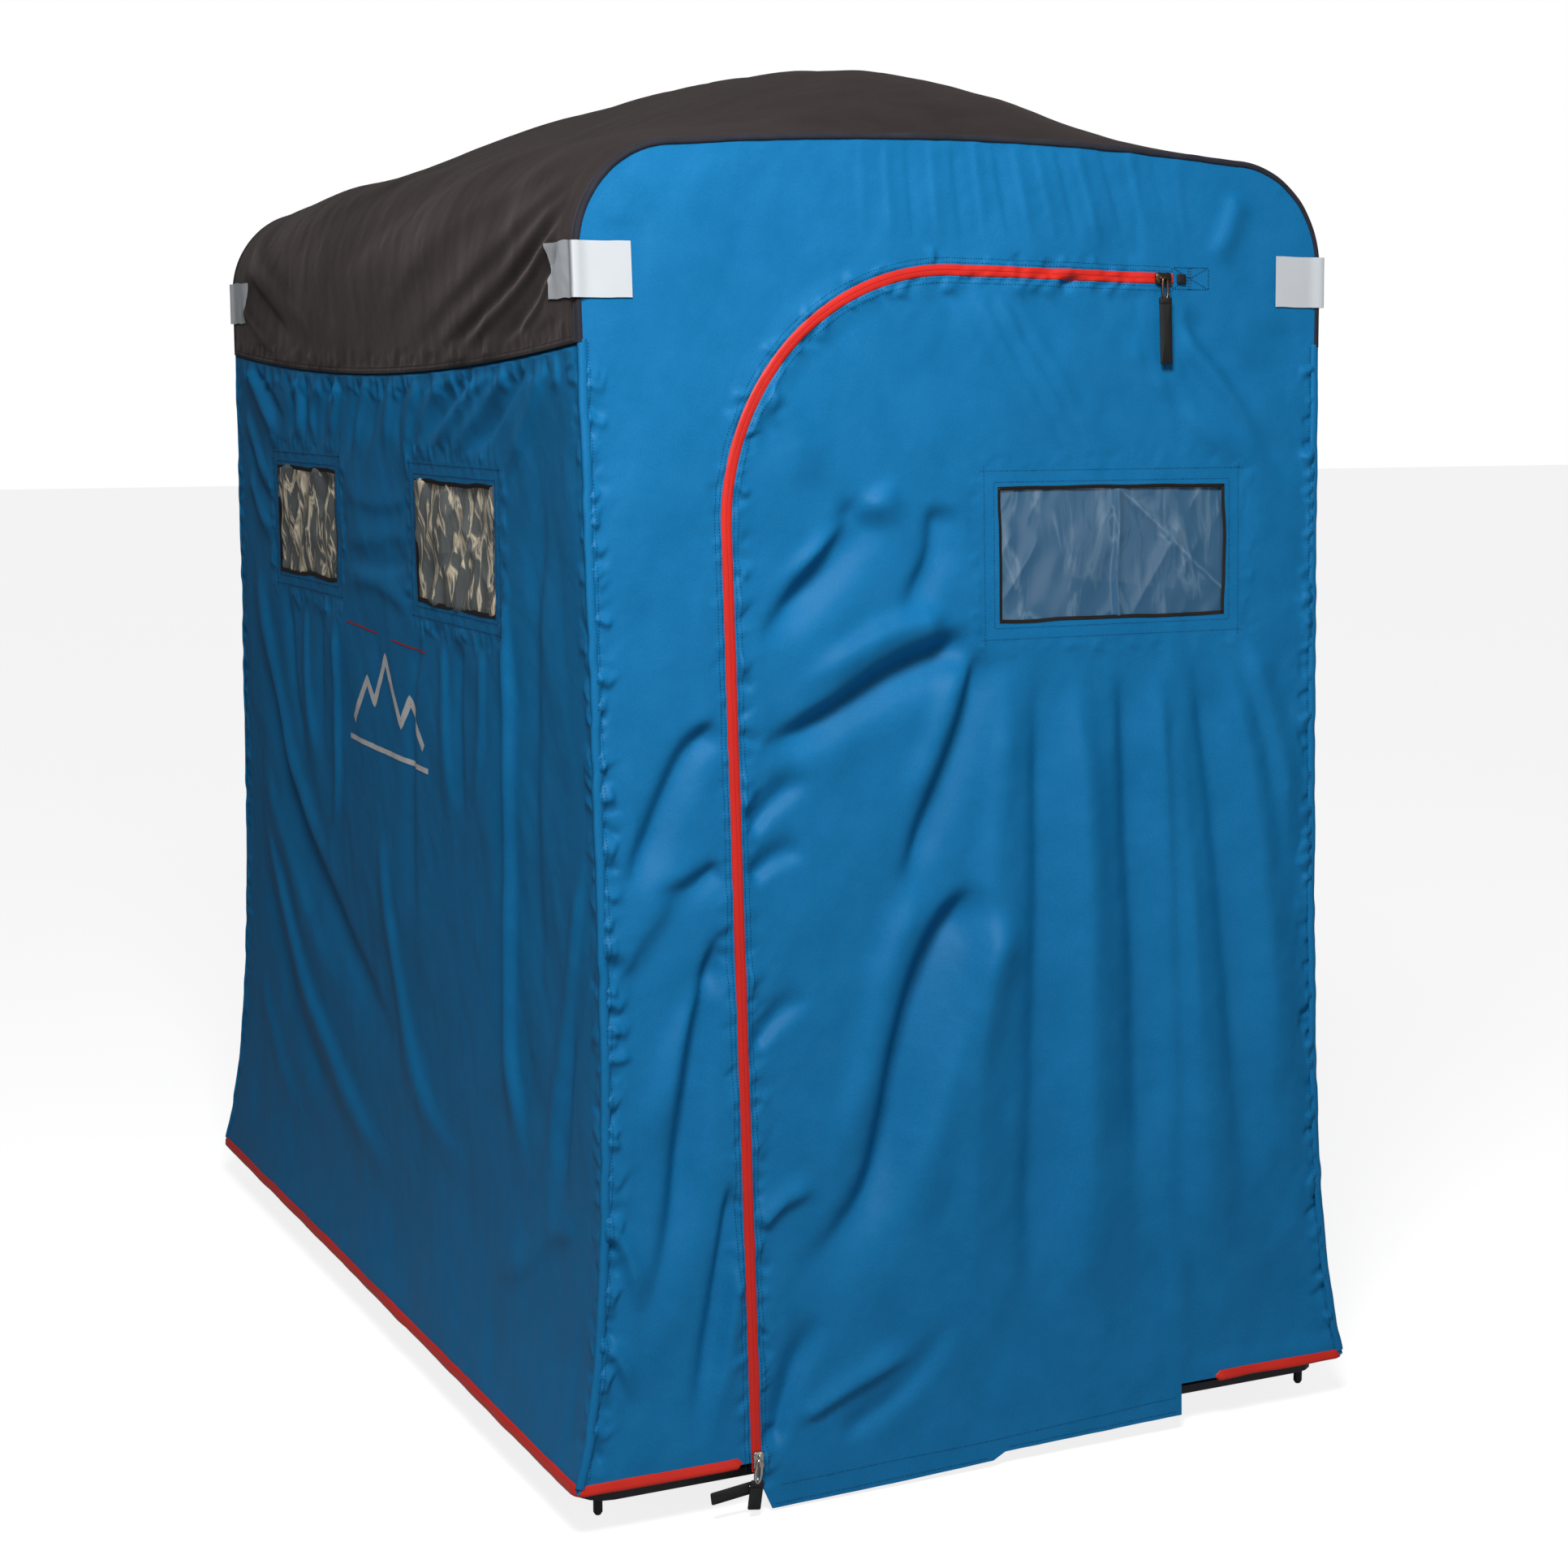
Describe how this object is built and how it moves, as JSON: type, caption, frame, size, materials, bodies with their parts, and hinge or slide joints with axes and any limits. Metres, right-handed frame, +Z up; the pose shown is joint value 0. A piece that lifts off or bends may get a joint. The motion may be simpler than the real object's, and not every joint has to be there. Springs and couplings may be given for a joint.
{
  "type": "ice fishing shelter",
  "caption": "Box-shaped portable ice fishing shelter: cloth canopy with a zipped door and clear windows over a tube frame, on a hinged plastic tray base.",
  "frame": {"origin": "centre of the footprint, on the ice under the base", "axes": "+Z up, the door faces -Y, +X is to the right of someone who looks along +Y"},
  "size_m": [1.01, 1.5461, 1.618],
  "materials": {
    "base_plastic": "moulded, fine grain, satin",
    "dark_fitting": "moulded, matt",
    "pin_steel": "drawn rod",
    "leg_tube": "drawn tube, satin",
    "hoop_tube": "drawn tube, satin",
    "ridge_pole": "pultruded rod",
    "clear_vinyl": "clear, creased",
    "roof_cloth": "coated woven nylon, dull",
    "wall_cloth": "coated woven nylon, soft sheen",
    "reflective": "retroreflective film",
    "zip_red": "coil tape",
    "trim_red": "moulded edging, satin",
    "black_webbing": "woven tape",
    "slider_bronze": "dark bronze",
    "slider_zinc": "bright die casting"
  },
  "bodies": {
    "base": {"base_front_shell": "base_plastic", "base_rear_shell": "base_plastic", "base_hinge_pin": "pin_steel", "corner_bolt_front_left": "dark_fitting", "corner_bolt_front_right": "dark_fitting", "corner_bolt_rear_left": "dark_fitting", "corner_bolt_rear_right": "dark_fitting", "leg_foot_front_left": "dark_fitting", "leg_foot_front_right": "dark_fitting", "leg_foot_rear_left": "dark_fitting", "leg_foot_rear_right": "dark_fitting", "lower_leg_front_left": "leg_tube", "lower_leg_front_right": "leg_tube", "lower_leg_rear_left": "leg_tube", "lower_leg_rear_right": "leg_tube", "leg_collar_front_left": "dark_fitting", "leg_collar_front_right": "dark_fitting", "leg_collar_rear_left": "dark_fitting", "leg_collar_rear_right": "dark_fitting", "front_wall": "wall_cloth", "rear_wall": "wall_cloth", "left_wall": "wall_cloth", "right_wall": "wall_cloth", "rear_window": "clear_vinyl", "left_front_window": "clear_vinyl", "left_rear_window": "clear_vinyl", "right_front_window": "clear_vinyl", "right_rear_window": "clear_vinyl", "base_trim": "trim_red", "loop_patch": "black_webbing", "stake_loop": "black_webbing", "zip_tape_wall": "zip_red"},
    "frame": {"front_hoop": "hoop_tube", "rear_hoop": "hoop_tube", "ridge_pole": "ridge_pole", "ridge_socket_front": "dark_fitting", "ridge_socket_rear": "dark_fitting", "roof_panel": "roof_cloth", "reflective_patch_front_left": "reflective", "reflective_patch_front_right": "reflective", "reflective_patch_rear_left": "reflective", "reflective_patch_rear_right": "reflective"},
    "door": {"door_panel": "wall_cloth", "zip_tape_door": "zip_red", "front_window": "clear_vinyl"},
    "upper_slider": {"upper_slider": "slider_bronze"},
    "lower_slider": {"lower_slider": "slider_zinc", "inner_pull_tab": "black_webbing"},
    "upper_tab": {"upper_pull_tab": "black_webbing"},
    "lower_tab": {"lower_pull_tab": "black_webbing"},
    "front_cover": {"front_hole_cover": "base_plastic"},
    "rear_cover": {"rear_hole_cover": "base_plastic"},
    "knob_front_left": {"clamp_knob_front_left": "dark_fitting"},
    "knob_front_right": {"clamp_knob_front_right": "dark_fitting"},
    "knob_rear_left": {"clamp_knob_rear_left": "dark_fitting"},
    "knob_rear_right": {"clamp_knob_rear_right": "dark_fitting"}
  },
  "joints": [
    {"name": "frame_telescope", "type": "slide", "parent": "base", "child": "frame", "axis": [0, 0, 1], "range_m": [-0.55, 0], "deforming": ["front_wall", "rear_wall", "left_wall", "right_wall", "rear_window", "zip_tape_wall", "left_front_window", "left_rear_window", "right_front_window", "right_rear_window"]},
    {"name": "door_swing", "type": "hinge", "parent": "base", "child": "door", "pos_m": [0.265, -0.766, 0.056], "axis": [0, 0.0461, 0.9989], "range_deg": [0, 110]},
    {"name": "upper_slider_run", "type": "slide", "parent": "door", "child": "upper_slider", "axis": [-0.9999, 0.0008, 0.0173], "range_m": [0, 0.26]},
    {"name": "lower_slider_run", "type": "slide", "parent": "door", "child": "lower_slider", "axis": [-0.0116, 0.0461, 0.9989], "range_m": [0, 0.98]},
    {"name": "upper_tab_swing", "type": "hinge", "parent": "upper_slider", "child": "upper_tab", "pos_m": [0.247, -0.71618, 1.3585], "axis": [-1, 0, 0], "range_deg": [0, 150]},
    {"name": "lower_tab_swing", "type": "hinge", "parent": "lower_slider", "child": "lower_tab", "pos_m": [-0.29, -0.77593, 0.064], "axis": [-1, 0, 0], "range_deg": [0, 150]},
    {"name": "front_cover_lift", "type": "slide", "parent": "base", "child": "front_cover", "axis": [0, 0, 1], "range_m": [0, 0.25]},
    {"name": "rear_cover_lift", "type": "slide", "parent": "base", "child": "rear_cover", "axis": [0, 0, 1], "range_m": [0, 0.25]},
    {"name": "knob_turn_front_left", "type": "hinge", "parent": "base", "child": "knob_front_left", "pos_m": [-0.401, -0.679, 0.783], "axis": [-1, 0, 0], "range_deg": [0, 360]},
    {"name": "knob_turn_front_right", "type": "hinge", "parent": "base", "child": "knob_front_right", "pos_m": [0.401, -0.679, 0.783], "axis": [1, 0, 0], "range_deg": [0, 360]},
    {"name": "knob_turn_rear_left", "type": "hinge", "parent": "base", "child": "knob_rear_left", "pos_m": [-0.401, 0.679, 0.783], "axis": [-1, 0, 0], "range_deg": [0, 360]},
    {"name": "knob_turn_rear_right", "type": "hinge", "parent": "base", "child": "knob_rear_right", "pos_m": [0.401, 0.679, 0.783], "axis": [1, 0, 0], "range_deg": [0, 360]}
  ]
}
